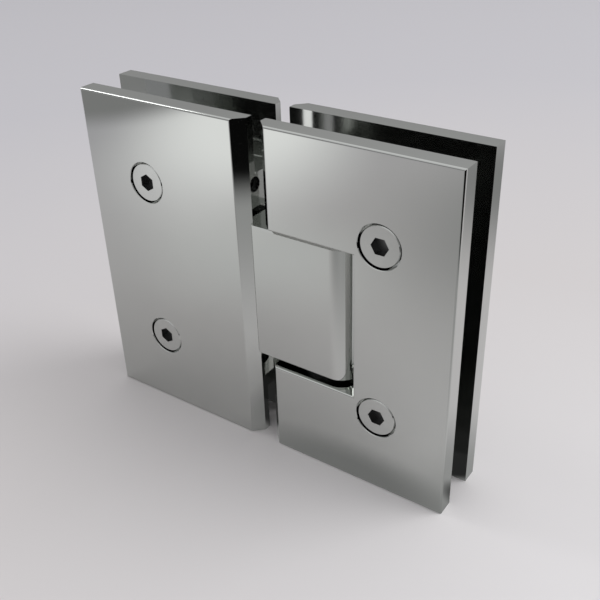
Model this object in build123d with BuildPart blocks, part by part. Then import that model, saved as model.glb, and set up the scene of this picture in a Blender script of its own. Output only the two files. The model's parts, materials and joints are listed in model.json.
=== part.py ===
"""Glass-to-glass shower hinge: two clamping leaves joined by a self-centring pivot block.

Millimetres, +Z up. X runs from the fixed leaf to the door leaf, the front faces look along -Y,
and the origin is the middle of the hinge's footprint.
"""
import os

from build123d import *

# Leaves: a front and a back plate each, clamped over the glass
leaf_height = 90.0
leaf_width = 51.4
leaf_gap = 4.0
plate_thickness = 4.8
glass_slot = 9.2
edge_bevel = 2.8
edge_radius = 0.5

# Clamp screws: low heads sunk in the front plates, threads in the back plates
clamp_screw_spacing = 46.4
fixed_screw_inset = 19.6
door_screw_inset = 18.8
clamp_shank_diameter = 6.0
clamp_head_diameter = 10.2
clamp_head_height = 2.8
clamp_head_recess = 0.3
clamp_head_room = 0.4
clamp_socket_flats = 4.0
clamp_socket_depth = 2.4
fixed_socket_turn = 30.0
door_socket_turn = 0.0
clamp_head_break = 0.2
clamp_rim_break = 0.15
hole_clearance = 0.3
tap_skin = 0.9
tap_bottom_room = 0.3

# Notch in the door leaf and the pivot block that stands in it
pivot_inset = 13.1
notch_depth = 26.1
notch_height = 39.0
end_float = 0.1
float_below = 0.05
block_recess = 1.8
block_nose = 10.6
block_corner = 5.2
block_edge_break = 0.4
tongue_length = 20.0
tongue_end_room = 0.5
cutout_corner = 3.0

# Pivot pin, its bushes and thrust washers
pin_diameter = 8.0
pin_end_chamfer = 0.6
pin_end_recess = 0.5
cam_flat_depth = 0.6
seat_flat_depth = 0.3
running_clearance = 0.05
press_clearance = 0.02
bush_wall = 1.0
bush_length = 9.0
washer_thickness = 1.0
washer_diameter = 12.0

# Ears of the door's front plate that carry the pin
ear_height = 12.0
ear_reach = 9.0
pin_screw_diameter = 4.0
pin_screw_length = 8.0
pin_screw_socket_flats = 2.0
pin_screw_socket_depth = 2.4

# Sprung plungers that press on the pin's flat
plunger_spacing = 10.0
plunger_diameter = 5.0
plunger_length = 8.0
spring_wire = 0.7
spring_diameter = 4.3
plug_diameter = 6.0
plug_length = 6.0
plug_recess = 0.5
plug_socket_flats = 3.0
plug_socket_depth = 3.0

# Screws that hold the block's tongue to the fixed front plate
tongue_screw_margin = 6.0
tongue_screw_inset = 10.0
tongue_shank_diameter = 5.0
tongue_head_diameter = 8.5
tongue_head_height = 5.0
tongue_head_recess = 0.4
tongue_socket_flats = 4.0
tongue_socket_depth = 2.5

# Positions worked out from the sizes above
FIXED, DOOR = -1, 1
FRONT, BACK = -1, 1
HANGING = (Align.CENTER, Align.CENTER, Align.MAX)
hinge_depth = glass_slot + 2 * plate_thickness
middle_height = leaf_height / 2
door_edge = leaf_gap / 2
fixed_edge = -leaf_gap / 2
leaf_outer = leaf_gap / 2 + leaf_width
pivot_x = door_edge + pivot_inset
notch_base = middle_height - notch_height / 2
notch_top = middle_height + notch_height / 2
tap_depth = plate_thickness - tap_skin
thread_length = tap_depth - tap_bottom_room
block_thickness = hinge_depth - 2 * block_recess
block_height = notch_height - 2 * washer_thickness - end_float
block_base = notch_base + float_below + washer_thickness
block_top = block_base + block_height
block_middle = block_base + block_height / 2
block_end = pivot_x + block_nose
tongue_end = fixed_edge - tongue_length
tongue_height = notch_height + 2 * (ear_height - tongue_end_room)
tongue_screw_spacing = tongue_height - 2 * tongue_screw_margin
bush_bore = pin_diameter + 2 * running_clearance
bush_outside = bush_bore + 2 * bush_wall
pin_radius = pin_diameter / 2
pin_screw_heights = (notch_base - ear_height / 2, notch_top + ear_height / 2)
pin_screw_seat = pivot_x - pin_radius + seat_flat_depth
plunger_nose = pivot_x - pin_radius - running_clearance
plunger_back = plunger_nose - plunger_length
plug_face = tongue_end + plug_recess + plug_length
clamp_x = {FIXED: -leaf_outer + fixed_screw_inset, DOOR: leaf_outer - door_screw_inset}
socket_turn = {FIXED: fixed_socket_turn, DOOR: door_socket_turn}
tongue_screw_x = fixed_edge - tongue_screw_inset


def facing_front(x, y, z):
    """Plane at a point, looking out of the hinge's front."""
    return Plane(origin=(x, y, z), x_dir=(1, 0, 0), z_dir=(0, -1, 0))


def stacked(spacing):
    """Two places one above the other."""
    return Locations((0, -spacing / 2), (0, spacing / 2))


def clamp_plate(side, face):
    """Bevelled plate of one leaf, with the block's notch on the door side."""
    with BuildPart() as plate:
        with BuildSketch(Plane.XZ.offset(-face * hinge_depth / 2)):
            with Locations((side * (leaf_outer - leaf_width / 2), middle_height)):
                Rectangle(leaf_width, leaf_height)
            if side == DOOR:
                with Locations((door_edge, middle_height)):
                    Rectangle(2 * notch_depth, notch_height, mode=Mode.SUBTRACT)
        extrude(amount=face * plate_thickness)
        outside = plate.faces().sort_by(Axis.Y)[0 if face == FRONT else -1]
        inner_edge = outside.edges().filter_by(Axis.Z).group_by(Axis.X)[0 if side == DOOR else -1]
        chamfer(inner_edge, edge_bevel)
        outside = plate.faces().sort_by(Axis.Y)[0 if face == FRONT else -1]
        fillet(outside.outer_wire().edges(), edge_radius)
    return plate.part


def cap_screw(head_diameter, head_height, shank_diameter, length, flats, socket_depth, turn=0):
    """Cylinder-head hexagon-socket screw hanging from its head face at the origin."""
    with BuildPart() as screw:
        Cylinder(head_diameter / 2, head_height, align=HANGING)
        Cylinder(shank_diameter / 2 - press_clearance, length, align=HANGING)
        with BuildSketch():
            RegularPolygon(flats / 2, 6, major_radius=False, rotation=turn)
        extrude(amount=-socket_depth, mode=Mode.SUBTRACT)
    return screw.part


def grub_screw(diameter, length, flats, socket_depth):
    """Headless hexagon-socket screw hanging from its socket end at the origin."""
    with BuildPart() as screw:
        Cylinder(diameter / 2 - press_clearance, length, align=HANGING)
        with BuildSketch():
            RegularPolygon(flats / 2, 6, major_radius=False)
        extrude(amount=-socket_depth, mode=Mode.SUBTRACT)
    return screw.part


def clamp_screws(side):
    """The pair of screws that draws one leaf's plates together."""
    with BuildPart() as screw:
        add(
            cap_screw(
                clamp_head_diameter,
                clamp_head_height,
                clamp_shank_diameter,
                plate_thickness - clamp_head_recess + glass_slot + thread_length,
                clamp_socket_flats,
                clamp_socket_depth,
                socket_turn[side],
            )
        )
        head_rim = screw.edges().filter_by(GeomType.CIRCLE).group_by(Axis.Z)[-1]
        chamfer(head_rim, clamp_head_break)
    with BuildPart() as pair:
        with Locations(facing_front(clamp_x[side], clamp_head_recess - hinge_depth / 2, middle_height)):
            with stacked(clamp_screw_spacing):
                add(screw.part)
    return pair.part


def tap_clamp_holes(side):
    """Blind tapped holes in a back plate, cut in the part being built."""
    with Locations(facing_front(clamp_x[side], glass_slot / 2, middle_height)):
        with stacked(clamp_screw_spacing):
            Hole(clamp_shank_diameter / 2, tap_depth)


def sink_clamp_holes(plate, side):
    """Clearance holes in a front plate being built, with seats for the heads and rubbed-down rims."""
    with Locations(facing_front(clamp_x[side], -hinge_depth / 2, middle_height)):
        with stacked(clamp_screw_spacing):
            CounterBoreHole(
                clamp_shank_diameter / 2 + hole_clearance,
                clamp_head_diameter / 2 + clamp_head_room,
                clamp_head_recess + clamp_head_height,
                plate_thickness,
            )
    rims = plate.edges().filter_by(GeomType.CIRCLE).group_by(Axis.Y)[0]
    chamfer(rims, clamp_rim_break)


def save(part, name):
    part.label = name
    export_step(part, f"parts/{name}.step")


os.makedirs("parts", exist_ok=True)

# Fixed front plate: sunk for the clamp screws, tapped inside for the tongue screws
with BuildPart() as fixed_front_plate:
    add(clamp_plate(FIXED, FRONT))
    sink_clamp_holes(fixed_front_plate, FIXED)
    tongue_seat = Plane(
        origin=(tongue_screw_x, -glass_slot / 2, middle_height), x_dir=(1, 0, 0), z_dir=(0, 1, 0)
    )
    with Locations(tongue_seat):
        with stacked(tongue_screw_spacing):
            Hole(tongue_shank_diameter / 2, tap_depth)
save(fixed_front_plate.part, "fixed_front_plate")

# Fixed back plate
with BuildPart() as fixed_back_plate:
    add(clamp_plate(FIXED, BACK))
    tap_clamp_holes(FIXED)
save(fixed_back_plate.part, "fixed_back_plate")

# Door front plate, with two ears across the glass slot that hold the pin's ends
with BuildPart() as door_front_plate:
    add(clamp_plate(DOOR, FRONT))
    for ear_base, far_side in ((notch_base - ear_height, 0), (notch_top, -1)):
        with BuildSketch(facing_front(door_edge, -glass_slot / 2, ear_base)) as ear:
            Rectangle(pivot_inset + ear_reach, ear_height, align=(Align.MIN, Align.MIN))
            far_corners = ear.vertices().group_by(Axis.Y)[far_side]
            fillet(far_corners.sort_by(Axis.X)[-1], cutout_corner)
        extrude(amount=-glass_slot)
    with Locations(Plane.XY.offset(notch_top + ear_height)):
        with Locations((pivot_x, 0)):
            Hole(pin_radius + press_clearance, leaf_height)
    for screw_z in pin_screw_heights:
        with Locations(Plane(origin=(door_edge, 0, screw_z), z_dir=(-1, 0, 0))):
            Hole(pin_screw_diameter / 2, pivot_inset)
    sink_clamp_holes(door_front_plate, DOOR)
save(door_front_plate.part, "door_front_plate")

# Door back plate
with BuildPart() as door_back_plate:
    add(clamp_plate(DOOR, BACK))
    tap_clamp_holes(DOOR)
save(door_back_plate.part, "door_back_plate")

# Clamp screws
save(clamp_screws(FIXED), "fixed_clamp_screws")
save(clamp_screws(DOOR), "door_clamp_screws")

# Pivot block: the nose stands in the notch, the tongue lies between the fixed plates
with BuildPart() as pivot_block:
    with BuildSketch(Plane.XY.offset(block_base)) as nose:
        with Locations((fixed_edge, 0)):
            Rectangle(block_end - fixed_edge, block_thickness, align=(Align.MIN, Align.CENTER))
        fillet(nose.vertices().group_by(Axis.X)[-1], block_corner)
    extrude(amount=block_height)
    rims = pivot_block.faces().filter_by(Axis.Z).edges().group_by(Axis.X)[1:]
    shoulders = pivot_block.edges().filter_by(Axis.Z).group_by(Axis.X)[0]
    chamfer([edge for rim in rims for edge in rim] + shoulders, block_edge_break)
    with BuildSketch(facing_front(fixed_edge, -glass_slot / 2, middle_height)) as tongue:
        Rectangle(tongue_length, tongue_height, align=(Align.MAX, Align.CENTER))
        fillet(tongue.vertices().group_by(Axis.X)[0], cutout_corner)
    extrude(amount=-glass_slot)
    ends = pivot_block.faces().filter_by(Axis.Z).sort_by(Axis.Z)
    long_edges = ends[0].edges().filter_by(Axis.X) + ends[-1].edges().filter_by(Axis.X)
    chamfer(long_edges, block_edge_break)
    with Locations((pivot_x, 0, block_top)):
        Hole(bush_outside / 2 + press_clearance, block_height)
    with Locations(Plane(origin=(tongue_end, 0, block_middle), x_dir=(0, 1, 0), z_dir=(-1, 0, 0))):
        with stacked(plunger_spacing):
            CounterBoreHole(
                plunger_diameter / 2,
                plug_diameter / 2,
                plug_recess + plug_length,
                pivot_x - tongue_end,
            )
    tongue_back = tongue_seat.offset(glass_slot)
    with Locations(tongue_back):
        with stacked(tongue_screw_spacing):
            CounterBoreHole(
                tongue_shank_diameter / 2 + hole_clearance,
                tongue_head_diameter / 2 + hole_clearance,
                tongue_head_recess + tongue_head_height,
                glass_slot,
            )
save(pivot_block.part, "pivot_block")

# Screws from the back of the tongue into the fixed front plate
with BuildPart() as tongue_screws:
    with Locations(tongue_back.offset(-tongue_head_recess)):
        with stacked(tongue_screw_spacing):
            add(
                cap_screw(
                    tongue_head_diameter,
                    tongue_head_height,
                    tongue_shank_diameter,
                    glass_slot - tongue_head_recess + thread_length,
                    tongue_socket_flats,
                    tongue_socket_depth,
                )
            )
save(tongue_screws.part, "tongue_screws")

# Pivot pin: a flat for the plungers in the middle, a small seat for a grub screw near each end
with BuildPart() as pivot_pin:
    pin_base = notch_base - ear_height + pin_end_recess
    pin_top = notch_top + ear_height - pin_end_recess
    with BuildSketch(Plane.XY.offset(pin_base)):
        with Locations((pivot_x, 0)):
            Circle(pin_radius)
    extrude(amount=pin_top - pin_base)
    chamfer(pivot_pin.edges().filter_by(GeomType.CIRCLE), pin_end_chamfer)
    cam_height = block_height - 2 * bush_length
    with Locations((pivot_x - pin_radius, 0, block_middle)):
        Box(2 * cam_flat_depth, pin_diameter, cam_height, mode=Mode.SUBTRACT)
    for seat_z in pin_screw_heights:
        with Locations((pivot_x - pin_radius, 0, seat_z)):
            Box(2 * seat_flat_depth, pin_diameter, pin_screw_diameter, mode=Mode.SUBTRACT)
save(pivot_pin.part, "pivot_pin")

# Grub screws that lock the pin in the ears, reached through the gap between the leaves
pin_screw = grub_screw(
    pin_screw_diameter, pin_screw_length, pin_screw_socket_flats, pin_screw_socket_depth
)
with BuildPart() as pin_grub_screws:
    for screw_z in pin_screw_heights:
        with Locations(Plane(origin=(pin_screw_seat - pin_screw_length, 0, screw_z), z_dir=(-1, 0, 0))):
            add(pin_screw)
save(pin_grub_screws.part, "pin_grub_screws")

# Bushes in the block's bore, and the thrust washers on its ends
for place, bush_base, washer_base in (
    ("lower", block_base, block_base - washer_thickness),
    ("upper", block_top - bush_length, block_top),
):
    with BuildPart() as bush:
        with BuildSketch(Plane.XY.offset(bush_base)):
            with Locations((pivot_x, 0)):
                Circle(bush_outside / 2)
                Circle(bush_bore / 2, mode=Mode.SUBTRACT)
        extrude(amount=bush_length)
    save(bush.part, f"{place}_bush")
    with BuildPart() as washer:
        with BuildSketch(Plane.XY.offset(washer_base)):
            with Locations((pivot_x, 0)):
                Circle(washer_diameter / 2)
                Circle(bush_bore / 2, mode=Mode.SUBTRACT)
        extrude(amount=washer_thickness)
    save(washer.part, f"{place}_thrust_washer")

# Plungers and springs in the block's two cross bores, each closed by a plug that sets the spring's force
for place, bore_z in (
    ("lower", block_middle - plunger_spacing / 2),
    ("upper", block_middle + plunger_spacing / 2),
):
    nose_plane = Plane(origin=(plunger_nose, 0, bore_z), x_dir=(0, 1, 0), z_dir=(1, 0, 0))
    with BuildPart() as plunger:
        with BuildSketch(nose_plane):
            Circle(plunger_diameter / 2 - press_clearance)
        extrude(amount=-plunger_length)
    save(plunger.part, f"{place}_plunger")
    with BuildPart() as spring:
        with BuildSketch(nose_plane.offset(-plunger_length)):
            Circle(spring_diameter / 2)
            Circle(spring_diameter / 2 - spring_wire, mode=Mode.SUBTRACT)
        extrude(amount=plug_face - plunger_back)
    save(spring.part, f"{place}_spring")
    with BuildPart() as plug:
        with Locations(Plane(origin=(tongue_end + plug_recess, 0, bore_z), z_dir=(-1, 0, 0))):
            add(grub_screw(plug_diameter, plug_length, plug_socket_flats, plug_socket_depth))
    save(plug.part, f"{place}_spring_plug")
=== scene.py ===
"""Looks of a glass-to-glass shower hinge: polished chrome on a pale studio floor. Metres, +Z up."""
import json
import math

import bpy
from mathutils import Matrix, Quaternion, Vector


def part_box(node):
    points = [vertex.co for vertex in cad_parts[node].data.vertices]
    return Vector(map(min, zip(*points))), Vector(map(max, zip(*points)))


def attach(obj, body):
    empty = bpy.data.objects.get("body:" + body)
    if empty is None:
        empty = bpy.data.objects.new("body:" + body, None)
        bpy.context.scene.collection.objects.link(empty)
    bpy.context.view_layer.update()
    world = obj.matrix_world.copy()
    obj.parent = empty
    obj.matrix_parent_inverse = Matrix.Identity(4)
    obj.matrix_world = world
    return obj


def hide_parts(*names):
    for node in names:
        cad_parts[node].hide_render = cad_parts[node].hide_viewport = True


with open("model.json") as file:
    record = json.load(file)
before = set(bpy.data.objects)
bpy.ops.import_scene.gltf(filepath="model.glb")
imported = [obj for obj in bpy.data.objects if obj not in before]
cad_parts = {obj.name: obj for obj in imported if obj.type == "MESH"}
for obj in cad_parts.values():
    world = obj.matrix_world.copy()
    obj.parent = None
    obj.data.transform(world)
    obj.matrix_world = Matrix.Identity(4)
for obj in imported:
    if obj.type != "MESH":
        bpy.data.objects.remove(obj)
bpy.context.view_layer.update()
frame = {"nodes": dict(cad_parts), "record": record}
nodes = frame["nodes"]
scene = bpy.context.scene

# Camera: the photograph's viewpoint, for a square picture
CAMERA_PLACE = Vector((0.1148, -0.1501, 0.1518))
CAMERA_TARGET = Vector((0.0065, 0.0, 0.0415))
CAMERA_ROLL = math.radians(-1.94)
CAMERA_LENS_MM = 50.7
CAMERA_NEAR = 0.01

# Floor and light; a pool of light is painted into the floor's tones, which go by distance from the
# pool's middle; sky tones go by height
FLOOR_SIZE = 6.0
FLOOR_PAINTED_POOL = (0.090, -0.020, 0.0)
FLOOR_PAINTED_POOL_TONES = {0.0: (0.745, 0.728, 0.738), 0.15: (0.640, 0.615, 0.618), 0.40: (0.565, 0.555, 0.585)}
FLOOR_CLOUDS = 9
FLOOR_UNEVENNESS = 0.01
FLOOR_ROUGHNESS = 0.75
FLOOR_SHEEN = 0.2
SKY_TONES = {0.30: (0.37, 0.37, 0.37), 0.75: (0.92, 0.92, 0.93)}
SKY_FRONT, SKY_BACK = 0.82, 1.0
SKY_REACH = 0.7
KEY_PLACE = Vector((0.84, 0.44, 1.10))
KEY_SIZE = 1.0
KEY_POWER = 8.3
RIM_PLACE = Vector((-0.857, -0.183, 0.893))
RIM_SIZE = 0.25
RIM_POWER = 0.9

# Painted reflections and painted shade: glowing floor zones that only the chrome mirrors, in place of
# bare floor; middle, reach, turn, tone and the share that is full
PAINTED_REFLECTIONS = {
    "pale front": ((-0.065, -0.095), (0.080, 0.055), 0.0, 0.70, 0.0),
    "painted white reflection at the front left": ((-0.168, -0.215), (0.085, 0.170), math.radians(-31), 1.17, 0.20),
    "dark far left": ((-0.300, -0.235), (0.105, 0.105), 0.0, 0.30, 0.60),
    "dim front": ((0.050, -0.180), (0.130, 0.130), 0.0, 0.36, 0.30),
    "dim front right": ((0.150, -0.100), (0.150, 0.150), 0.0, 0.42, 0.20),
    "black front right": ((0.396, -0.358), (0.385, 0.385), 0.0, 0.004, 0.88),
    "dark back right": ((0.115, 0.195), (0.110, 0.110), 0.0, 0.30, 0.10),
    "shade at the door leaf's end": ((0.054, 0.000), (0.030, 0.040), 0.0, 0.40, 0.20),
    "shade along the door leaf": ((0.025, -0.009), (0.043, 0.014), 0.0, 0.24, 0.30),
    "deep shade in the fixed leaf": ((-0.027, 0.000), (0.033, 0.0094), 0.0, 0.03, 0.80),
    "deep shade in the door leaf": ((0.027, 0.000), (0.033, 0.0094), 0.0, 0.03, 0.80),
}

# Finishes: a pair of tones each, and clouds per metre
CHROME_TONES = ((0.545, 0.558, 0.541), (0.572, 0.585, 0.566))
STEEL_TONES = ((0.40, 0.40, 0.40), (0.50, 0.50, 0.50))
BLACKED_TONES = ((0.030, 0.030, 0.032), (0.055, 0.055, 0.058))
GROUND_TONES = ((0.50, 0.50, 0.50), (0.58, 0.58, 0.57))
BRONZE_TONES = ((0.46, 0.30, 0.14), (0.58, 0.40, 0.21))
NYLON_TONES = ((0.018, 0.018, 0.019), (0.034, 0.034, 0.036))
CLOUD_LOW, CLOUD_HIGH = 0.3, 0.7
TONE_COARSENESS = 8
POLISH_COARSENESS = 4
TONE_CLOUDS = 400
POLISH_CLOUDS = 900
NYLON_POLISH = (0.4, 0.6)
NYLON_GRAIN = 5000
NYLON_GRAIN_DEPTH = 0.00002
NYLON_GRAIN_STRENGTH = 0.4

# Polish of the chrome: plates satin on the faces that grip the glass, screws dull in their sockets
CHROME_FINISH = {"polish": (0.03, 0.06), "relief": 0.0000008, "grain": 260}
SATIN_DEPTH = 0.00465
SATIN_DULLNESS = 0.06
SCREW_POLISH = (0.06, 0.1)
TURNING_PITCH = 0.00018
TURNING_DEPTH = 0.0000012
SOCKET_TONE = (0.20, 0.20, 0.20)
SOCKET_DULLNESS = 0.3
SOCKET_DULL_RADIUS = 0.00236
SOCKET_LIP = 0.00015

# Clamp screws: low socket heads on threaded shanks
HEAD_HEIGHT = 0.0028
HEAD_BREAK = 0.0002
SOCKET_FLATS = 0.004
SOCKET_DEPTH = 0.0024
SOCKET_TURNS = {"fixed": math.radians(30), "door": 0.0}
THREAD_RADIUS = 0.00298
THREAD_DEPTH = 0.00058
THREAD_PITCH = 0.001
THREAD_FLAT = 1 / 7
THREAD_STEPS = 6
TIP_RADIUS = 0.0022
SCREW_SEGMENTS = 72
SCREW_ANGLES = [math.tau * step / SCREW_SEGMENTS for step in range(SCREW_SEGMENTS)]
SHARP_ANGLE = math.radians(35)

# Detent springs
SPRING_WIRE = 0.0007
SPRING_TURNS = 10
SPRING_STEPS = 12
WIRE_RESOLUTION = 3


def node(tree, kind, inputs=None, **settings):
    """A shader node; each input is a value or another node's output."""
    made = tree.nodes.new("ShaderNode" + kind)
    for name, value in settings.items():
        setattr(made, name, value)
    for name, value in (inputs or {}).items():
        if isinstance(value, bpy.types.NodeSocket):
            tree.links.new(value, made.inputs[name])
        else:
            made.inputs[name].default_value = value
    return made


def calc(tree, operation, *values):
    """Result of one sum on numbers and other nodes' outputs."""
    return node(tree, "Math", dict(enumerate(values)), operation=operation).outputs[0]


def surface(name, metallic):
    """A new material, with its tree, shader and object coordinates."""
    material = bpy.data.materials.new(name)
    material.use_nodes = True
    tree = material.node_tree
    shader = tree.nodes["Principled BSDF"]
    shader.inputs["Metallic"].default_value = metallic
    return material, tree, shader, node(tree, "TexCoord").outputs["Object"]


def mottle(tree, place, scale, detail=3.0):
    """Cloudy pattern from 0 to 1; scale is in clouds per metre."""
    return node(tree, "TexNoise", {"Vector": place, "Scale": scale, "Detail": detail}).outputs["Fac"]


def spread(tree, value, low, high):
    """A cloudy pattern's middle stretch, mapped to a range."""
    return node(
        tree,
        "MapRange",
        {"Value": value, "From Min": CLOUD_LOW, "From Max": CLOUD_HIGH, "To Min": low, "To Max": high},
    ).outputs["Result"]


def graded(tree, value, stops):
    """A pattern turned into a colour by stops from its value to a tone."""
    ramp = node(tree, "ValToRGB", {"Fac": value})
    while len(ramp.color_ramp.elements) < len(stops):
        ramp.color_ramp.elements.new(0.5)
    for stop, (place, tone) in zip(ramp.color_ramp.elements, stops.items()):
        stop.position = place
        stop.color = (*tone, 1)
    return ramp.outputs["Color"]


def tinted(tree, value, tones):
    """A cloudy pattern turned into a colour between two tones."""
    return graded(tree, value, dict(zip((CLOUD_LOW, CLOUD_HIGH), tones)))


def metal(name, tones, polish, relief, grain, drawn=(1, 1, 1), satin_depth=0.0):
    """Plain metal: cloudy tone, uneven polish, faint relief and, this near the middle plane, a satin."""
    material, tree, shader, place = surface(name, metallic=1)
    drawn_out = node(tree, "VectorMath", {0: place, 1: drawn}, operation="MULTIPLY").outputs["Vector"]
    tone = tinted(tree, mottle(tree, drawn_out, grain / TONE_COARSENESS), tones)
    tree.links.new(tone, shader.inputs["Base Color"])
    dullness = spread(tree, mottle(tree, drawn_out, grain / POLISH_COARSENESS), *polish)
    if satin_depth:
        depth = calc(tree, "ABSOLUTE", node(tree, "SeparateXYZ", {0: place}).outputs["Y"])
        inside = calc(tree, "LESS_THAN", depth, satin_depth)
        dullness = calc(tree, "ADD", dullness, calc(tree, "MULTIPLY", inside, SATIN_DULLNESS))
    tree.links.new(dullness, shader.inputs["Roughness"])
    height = mottle(tree, drawn_out, grain)
    bump = node(tree, "Bump", {"Height": height, "Strength": 1, "Distance": relief})
    tree.links.new(bump.outputs["Normal"], shader.inputs["Normal"])
    return material


def screw_metal(name, screws):
    """Chrome of a pair of socket screws: turned rings on the heads, sockets darker and duller than the
    chrome.
    """
    low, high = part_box(screws)
    middle = (low + high) / 2
    half_spacing = (high.z - low.z) / 2 - (high.x - low.x) / 2
    material, tree, shader, place = surface(name, metallic=1)
    split = node(tree, "SeparateXYZ", {0: place})
    across = calc(tree, "SUBTRACT", split.outputs["X"], middle.x)
    depth = calc(tree, "SUBTRACT", split.outputs["Y"], low.y)
    height = calc(tree, "SUBTRACT", split.outputs["Z"], middle.z)
    axis = calc(tree, "MULTIPLY", calc(tree, "SIGN", height), half_spacing)
    upward = calc(tree, "SUBTRACT", height, axis)
    squares = calc(tree, "ADD", calc(tree, "POWER", across, 2), calc(tree, "POWER", upward, 2))
    radius = calc(tree, "SQRT", squares)
    turning = calc(tree, "SINE", calc(tree, "MULTIPLY", radius, math.tau / TURNING_PITCH))
    relief = node(tree, "Bump", {"Height": turning, "Strength": 1, "Distance": TURNING_DEPTH / 2})
    tree.links.new(relief.outputs["Normal"], shader.inputs["Normal"])
    in_socket = calc(
        tree,
        "MULTIPLY",
        calc(tree, "LESS_THAN", radius, SOCKET_DULL_RADIUS),
        calc(tree, "GREATER_THAN", depth, SOCKET_LIP),
    )
    chrome_tone = tinted(tree, mottle(tree, place, TONE_CLOUDS), CHROME_TONES)
    tone = node(
        tree,
        "Mix",
        {"Factor": in_socket, "A": chrome_tone, "B": (*SOCKET_TONE, 1)},
        data_type="RGBA",
    )
    tree.links.new(tone.outputs["Result"], shader.inputs["Base Color"])
    polish = spread(tree, mottle(tree, place, POLISH_CLOUDS), *SCREW_POLISH)
    dullness = calc(tree, "ADD", polish, calc(tree, "MULTIPLY", in_socket, SOCKET_DULLNESS))
    tree.links.new(dullness, shader.inputs["Roughness"])
    return material


def nylon():
    """Moulded black plastic with a fine dull grain."""
    material, tree, shader, place = surface("black_nylon", metallic=0)
    tone = tinted(tree, mottle(tree, place, TONE_CLOUDS), NYLON_TONES)
    tree.links.new(tone, shader.inputs["Base Color"])
    polish = spread(tree, mottle(tree, place, POLISH_CLOUDS), *NYLON_POLISH)
    tree.links.new(polish, shader.inputs["Roughness"])
    bump = node(
        tree,
        "Bump",
        {
            "Height": mottle(tree, place, NYLON_GRAIN),
            "Strength": NYLON_GRAIN_STRENGTH,
            "Distance": NYLON_GRAIN_DEPTH,
        },
    )
    tree.links.new(bump.outputs["Normal"], shader.inputs["Normal"])
    return material


def covered(tree, place, mirrored, middle, reach, turn, full):
    """Share of a mirrored ray that a soft-edged painted zone of the floor takes."""
    zone = node(
        tree,
        "Mapping",
        {"Vector": place, "Location": (*middle, 0), "Rotation": (0, 0, turn), "Scale": (*reach, 1)},
        vector_type="TEXTURE",
    )
    outward = node(tree, "VectorMath", {0: zone.outputs["Vector"]}, operation="LENGTH").outputs["Value"]
    cover = node(
        tree,
        "MapRange",
        {"Value": outward, "From Min": full, "From Max": 1.0, "To Min": 1.0, "To Max": 0.0},
        interpolation_type="SMOOTHSTEP",
    )
    return calc(tree, "MULTIPLY", cover.outputs["Result"], mirrored)


def floor():
    """Pale paper floor with a painted pool of light, lightest at the front right; the chrome mirrors
    painted reflection and shade zones instead.
    """
    half = FLOOR_SIZE / 2
    mesh = bpy.data.meshes.new("floor")
    corners = [(-half, -half, 0), (half, -half, 0), (half, half, 0), (-half, half, 0)]
    mesh.from_pydata(corners, [], [(0, 1, 2, 3)])
    piece = bpy.data.objects.new("floor", mesh)
    scene.collection.objects.link(piece)
    material, tree, shader, place = surface("paper_with_painted_light", metallic=0)
    # Painted pool of light: the paper is lightest at the pool and darker and bluer away from it
    from_painted_pool = node(tree, "VectorMath", {0: place, 1: FLOOR_PAINTED_POOL}, operation="DISTANCE").outputs["Value"]
    uneven = spread(tree, mottle(tree, place, FLOOR_CLOUDS), -FLOOR_UNEVENNESS, FLOOR_UNEVENNESS)
    paper = graded(tree, calc(tree, "ADD", from_painted_pool, uneven), FLOOR_PAINTED_POOL_TONES)
    tree.links.new(paper, shader.inputs["Base Color"])
    shader.inputs["Roughness"].default_value = FLOOR_ROUGHNESS
    shader.inputs["Specular IOR Level"].default_value = FLOOR_SHEEN
    # Painted reflections and painted shade: each zone glows only for rays that the chrome mirrors
    mirrored = node(tree, "LightPath").outputs["Is Glossy Ray"]
    shown = shader
    for middle, reach, turn, tone, full in PAINTED_REFLECTIONS.values():
        share = covered(tree, place, mirrored, middle, reach, turn, full)
        zone = node(tree, "Emission", {"Strength": tone})
        shown = node(tree, "MixShader", {"Fac": share, 1: shown.outputs[0], 2: zone.outputs[0]})
    tree.links.new(shown.outputs[0], tree.nodes["Material Output"].inputs["Surface"])
    material.cycles.emission_sampling = "NONE"
    mesh.materials.append(material)


def sky():
    """Soft room light, paler overhead than near the horizon and weaker from the front."""
    scene.world = bpy.data.worlds.new("studio")
    scene.world.use_nodes = True
    tree = scene.world.node_tree
    toward = node(tree, "SeparateXYZ", {0: node(tree, "TexCoord").outputs["Generated"]})
    background = tree.nodes["Background"]
    tree.links.new(graded(tree, toward.outputs["Z"], SKY_TONES), background.inputs["Color"])
    share = node(
        tree,
        "MapRange",
        {
            "Value": toward.outputs["Y"],
            "From Min": -SKY_REACH,
            "From Max": SKY_REACH,
            "To Min": SKY_FRONT,
            "To Max": SKY_BACK,
        },
    )
    tree.links.new(share.outputs["Result"], background.inputs["Strength"])


def soft_lamp(name, place, size, power):
    """Round soft lamp aimed at the hinge."""
    lamp = bpy.data.lights.new(name, "AREA")
    lamp.shape = "DISK"
    lamp.size = size
    lamp.energy = power
    piece = bpy.data.objects.new(name, lamp)
    piece.location = place
    piece.rotation_mode = "QUATERNION"
    piece.rotation_quaternion = (-place).to_track_quat("-Z", "Y")
    scene.collection.objects.link(piece)


def camera():
    """The camera, aimed at its target and rolled a little about its line of sight."""
    lens = bpy.data.cameras.new("camera")
    lens.lens = CAMERA_LENS_MM
    lens.clip_start = CAMERA_NEAR
    piece = bpy.data.objects.new("camera", lens)
    piece.location = CAMERA_PLACE
    piece.rotation_mode = "QUATERNION"
    aim = (CAMERA_TARGET - CAMERA_PLACE).to_track_quat("-Z", "Y")
    piece.rotation_quaternion = aim @ Quaternion((0, 0, 1), CAMERA_ROLL)
    scene.collection.objects.link(piece)
    scene.camera = piece


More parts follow.
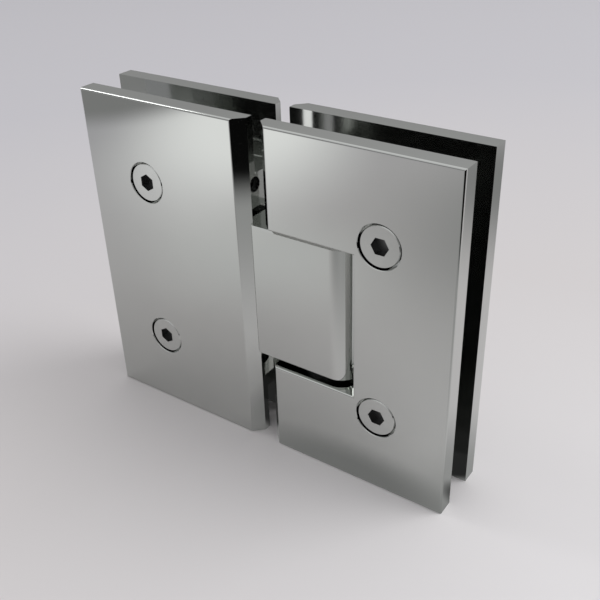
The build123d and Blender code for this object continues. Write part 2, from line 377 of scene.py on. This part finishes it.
def screw_rings(turn, head_radius, length):
    """One screw from its socket's floor to its tip: rings of radius and depth, a pair for each angle."""
    sixth = math.pi / 3
    socket = []
    for angle in SCREW_ANGLES:
        off_flat = (angle - turn) % sixth - sixth / 2
        socket.append(SOCKET_FLATS / 2 / math.cos(off_flat))
    rings = [[(radius, depth) for radius in socket] for depth in (SOCKET_DEPTH, 0.0)]
    root = THREAD_RADIUS - THREAD_DEPTH
    for radius, depth in (
        (head_radius - HEAD_BREAK, 0.0),
        (head_radius, HEAD_BREAK),
        (head_radius, HEAD_HEIGHT),
        (root, HEAD_HEIGHT),
    ):
        rings.append([(radius, depth)] * SCREW_SEGMENTS)
    thread_end = length - (root - TIP_RADIUS)
    steps = round((thread_end - HEAD_HEIGHT) / THREAD_PITCH * THREAD_STEPS)
    for step in range(1, steps + 1):
        depth = HEAD_HEIGHT + (thread_end - HEAD_HEIGHT) * step / steps
        run_out = min(depth - HEAD_HEIGHT, thread_end - depth, THREAD_PITCH) / THREAD_PITCH
        ring = []
        for angle in SCREW_ANGLES:
            flank = abs((depth / THREAD_PITCH + angle / math.tau) % 1 - 0.5) * 2
            crest = min(max((flank - THREAD_FLAT) / (1 - 2 * THREAD_FLAT), 0.0), 1.0)
            ring.append((root + THREAD_DEPTH * crest * run_out, depth))
        rings.append(ring)
    rings.append([(TIP_RADIUS, length)] * SCREW_SEGMENTS)
    return rings


def turn_screws(side, material):
    """A leaf's pair of clamp screws, with the threads that show in the glass slot."""
    low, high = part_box(f"{side}_clamp_screws")
    head_radius = (high.x - low.x) / 2
    middle_x = (low.x + high.x) / 2
    rings = screw_rings(SOCKET_TURNS[side], head_radius, high.y - low.y)
    points, faces = [], []
    for middle_z in (low.z + head_radius, high.z - head_radius):
        first = len(points)
        for ring in rings:
            for angle, (radius, depth) in zip(SCREW_ANGLES, ring):
                x = middle_x + radius * math.cos(angle)
                z = middle_z + radius * math.sin(angle)
                points.append((x, low.y + depth, z))
        last = len(points) - SCREW_SEGMENTS
        for start in range(first, last, SCREW_SEGMENTS):
            beyond = start + SCREW_SEGMENTS
            for step in range(SCREW_SEGMENTS):
                following = (step + 1) % SCREW_SEGMENTS
                faces.append((start + step, beyond + step, beyond + following, start + following))
        faces.append(tuple(range(first, first + SCREW_SEGMENTS)))
        faces.append(tuple(range(last + SCREW_SEGMENTS - 1, last - 1, -1)))
    mesh = bpy.data.meshes.new(f"{side}_threaded_screws")
    mesh.from_pydata(points, [], faces)
    mesh.shade_smooth()
    mesh.set_sharp_from_angle(angle=SHARP_ANGLE)
    mesh.materials.append(material)
    pair = bpy.data.objects.new(f"{side}_threaded_screws", mesh)
    scene.collection.objects.link(pair)
    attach(pair, f"{side}_leaf")
    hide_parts(f"{side}_clamp_screws")


def wind_spring(place, material):
    """Detent spring wound in the room its sleeve takes, with a closed turn at each end."""
    low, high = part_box(f"{place}_spring")
    middle = (low + high) / 2
    radius = (high.z - low.z - SPRING_WIRE) / 2
    room = high.x - low.x - SPRING_WIRE
    pitch = (room - 2 * SPRING_WIRE) / (SPRING_TURNS - 2)
    points = []
    for step in range(SPRING_STEPS * SPRING_TURNS + 1):
        turn = step / SPRING_STEPS
        closed = min(turn, 1) + max(turn - SPRING_TURNS + 1, 0)
        along = SPRING_WIRE * closed + pitch * (turn - closed)
        angle = math.tau * turn
        x = low.x + SPRING_WIRE / 2 + along
        y = middle.y + radius * math.cos(angle)
        z = middle.z + radius * math.sin(angle)
        points.append((x, y, z, 1))
    wire = bpy.data.curves.new(f"{place}_spring_coil", "CURVE")
    wire.dimensions = "3D"
    wire.bevel_depth = SPRING_WIRE / 2
    wire.bevel_resolution = WIRE_RESOLUTION
    wire.use_fill_caps = True
    line = wire.splines.new("NURBS")
    line.points.add(len(points) - 1)
    for point, spot in zip(line.points, points):
        point.co = spot
    line.order_u = 3
    line.use_endpoint_u = True
    wire.materials.append(material)
    coil = bpy.data.objects.new(f"{place}_spring_coil", wire)
    scene.collection.objects.link(coil)
    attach(coil, "fixed_leaf")
    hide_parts(f"{place}_spring")


# Each node takes its slot's finish, but the block has no satin, and small screws and plugs are blacked
block_chrome = metal("polished_chrome", CHROME_TONES, **CHROME_FINISH)
blacked = metal("blacked_steel", BLACKED_TONES, polish=(0.3, 0.45), relief=0.00001, grain=2500)
finishes = {
    "chrome": metal("plate_chrome", CHROME_TONES, **CHROME_FINISH, satin_depth=SATIN_DEPTH),
    "screw_chrome": block_chrome,
    "steel": metal("bright_steel", STEEL_TONES, polish=(0.2, 0.32), relief=0.00001, grain=2500),
    "pin_steel": metal(
        "ground_pin_steel",
        GROUND_TONES,
        polish=(0.12, 0.2),
        relief=0.000004,
        grain=400,
        drawn=(1, 1, 12),
    ),
    "plunger_steel": metal(
        "ground_plunger_steel",
        GROUND_TONES,
        polish=(0.15, 0.25),
        relief=0.000004,
        grain=400,
        drawn=(12, 1, 1),
    ),
    "bronze": metal("bearing_bronze", BRONZE_TONES, polish=(0.3, 0.42), relief=0.00001, grain=2500),
    "nylon": nylon(),
}
special = {
    "pivot_block": block_chrome,
    "tongue_screws": blacked,
    "pin_grub_screws": blacked,
    "lower_spring_plug": blacked,
    "upper_spring_plug": blacked,
}
for row in frame["record"]["subparts"]:
    mesh = nodes[row["node"]].data
    mesh.materials.clear()
    mesh.materials.append(special.get(row["node"], finishes[row["material_slot"]]))

for side in ("fixed", "door"):
    turn_screws(side, screw_metal(f"{side}_screw_chrome", f"{side}_clamp_screws"))
for place in ("lower", "upper"):
    wind_spring(place, finishes["steel"])

floor()
sky()
soft_lamp("key", KEY_PLACE, KEY_SIZE, KEY_POWER)
soft_lamp("rim", RIM_PLACE, RIM_SIZE, RIM_POWER)
camera()

scene.view_settings.view_transform = "Standard"
